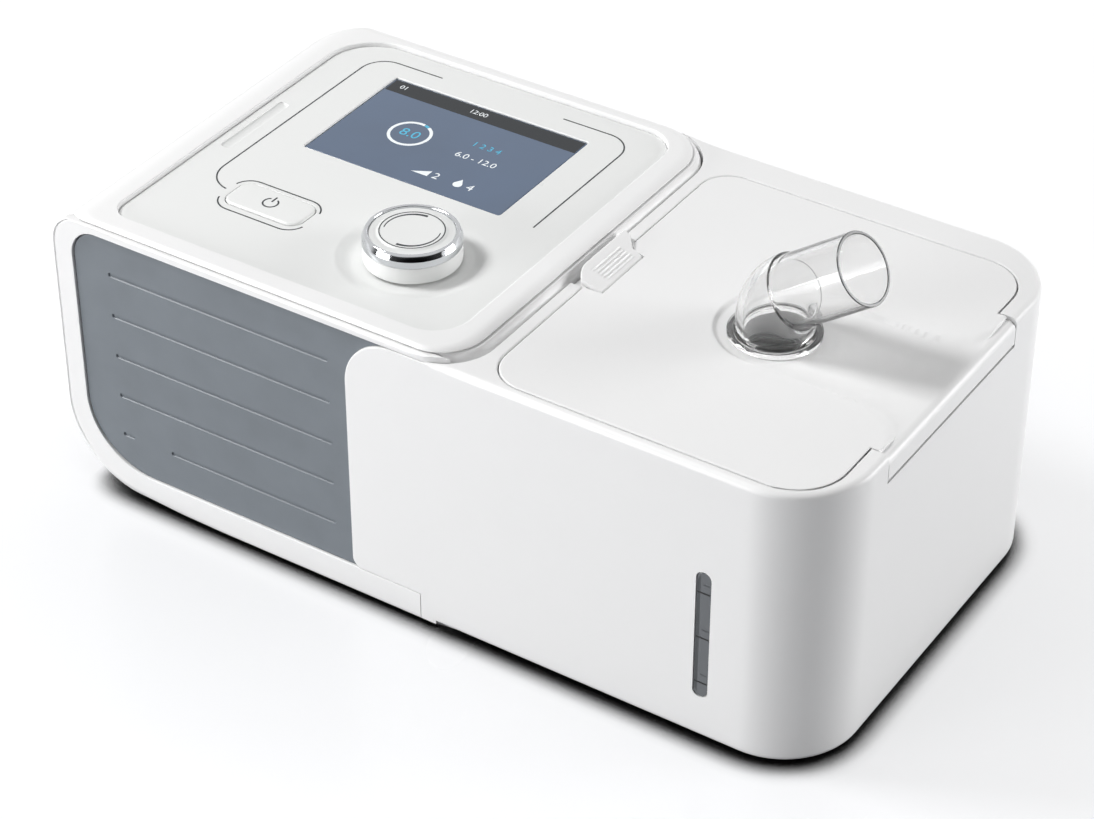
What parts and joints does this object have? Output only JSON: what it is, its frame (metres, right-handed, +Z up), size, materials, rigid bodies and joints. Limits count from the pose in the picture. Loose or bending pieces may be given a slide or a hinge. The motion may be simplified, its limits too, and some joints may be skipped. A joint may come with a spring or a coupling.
{
  "type": "positive airway pressure machine",
  "caption": "Bedside breathing-pressure machine with control panel, turn-and-push knob, start button and a docked humidifier with a hinged lid and a swivelling outlet elbow.",
  "frame": {"origin": "middle of the machine's bounding box in plan, on the table that the feet stand on", "axes": "+X from the main unit to the humidifier, +Y to the back, +Z up; the grey front panel faces -Y"},
  "size_m": [0.271, 0.1456, 0.1374],
  "materials": {
    "casing": "white moulded ABS, satin",
    "panel": "white moulded plate, smooth",
    "grey_panel": "slate grey moulded plastic, fine grain",
    "display_glass": "dark display window",
    "dark_plastic": "black moulded plastic",
    "chrome": "bright plated ring",
    "steel": "plain steel",
    "circuit_board": "green glass-fibre board",
    "inner_plastic": "natural moulded plastic",
    "rubber": "dark grey rubber",
    "silicone": "translucent silicone",
    "foam": "open cell foam",
    "filter_felt": "white filter felt",
    "smoked_clear": "smoked clear plastic",
    "clear_plastic": "clear polycarbonate",
    "elbow_clear": "translucent grey polycarbonate",
    "aluminium": "plain aluminium"
  },
  "bodies": {
    "housing": {"lower_case": "casing", "front_frame": "casing", "front_panel": "grey_panel", "top_cover": "casing", "control_panel": "panel", "display_lens": "display_glass", "display_module": "dark_plastic", "start_switch": "dark_plastic", "encoder_body": "dark_plastic", "main_board": "circuit_board", "board_screws": "steel", "blower_lower": "inner_plastic", "blower_upper": "inner_plastic", "motor": "steel", "blower_mounts": "rubber", "air_duct": "inner_plastic", "duct_seal": "silicone", "muffler_foam": "foam", "intake_filter": "filter_felt", "filter_cover": "casing", "power_inlet": "dark_plastic", "main_feet": "rubber", "humidifier_shell": "casing", "humidifier_base": "casing", "base_screws": "steel", "water_window": "smoked_clear", "water_tank": "clear_plastic", "tank_base": "steel", "tank_gasket": "silicone", "tank_lid": "clear_plastic", "heater_plate": "aluminium", "heater_insulation": "foam", "air_riser": "inner_plastic", "inlet_seal": "silicone", "hinge_pin": "steel", "humidifier_feet": "rubber"},
    "start_button": {"start_button": "casing"},
    "knob_plunger": {"encoder_plunger": "steel"},
    "knob": {"knob": "casing", "knob_ring": "chrome", "encoder_shaft": "steel"},
    "rotor": {"impeller": "inner_plastic", "rotor_shaft": "steel"},
    "lid": {"lid": "casing", "latch_pin": "steel", "latch_spring": "steel", "outlet_seal": "silicone"},
    "latch": {"latch": "casing"},
    "elbow": {"outlet_elbow": "elbow_clear", "elbow_clip": "steel"}
  },
  "joints": [
    {"name": "start_button_press", "type": "slide", "parent": "housing", "child": "start_button", "axis": [0, 0, -1], "range_m": [0, 0.001], "stiffness_N_per_m": 800, "springref_m": -0.001},
    {"name": "knob_push", "type": "slide", "parent": "housing", "child": "knob_plunger", "axis": [0, 0, -1], "range_m": [0, 0.0007], "stiffness_N_per_m": 1500, "springref_m": -0.001},
    {"name": "knob_turn", "type": "hinge", "parent": "knob_plunger", "child": "knob", "pos_m": [-0.0269, -0.033, 0.1039], "axis": [0, 0, 1], "continuous": true},
    {"name": "blower_spin", "type": "hinge", "parent": "housing", "child": "rotor", "pos_m": [-0.078, -0.014, 0.04], "axis": [0, 0, 1], "continuous": true},
    {"name": "lid_open", "type": "hinge", "parent": "housing", "child": "lid", "pos_m": [0.1325, -0.0015, 0.0938], "axis": [0, 1, 0], "range_deg": [0, 95]},
    {"name": "latch_press", "type": "hinge", "parent": "lid", "child": "latch", "pos_m": [0.02645, -0.002, 0.0956], "axis": [0, 1, 0], "range_deg": [-13, 0], "stiffness_Nm_per_rad": 0.3, "springref_deg": 8.59},
    {"name": "elbow_swivel", "type": "hinge", "parent": "lid", "child": "elbow", "pos_m": [0.08, -0.0055, 0.0968], "axis": [0, 0, 1], "continuous": true}
  ]
}
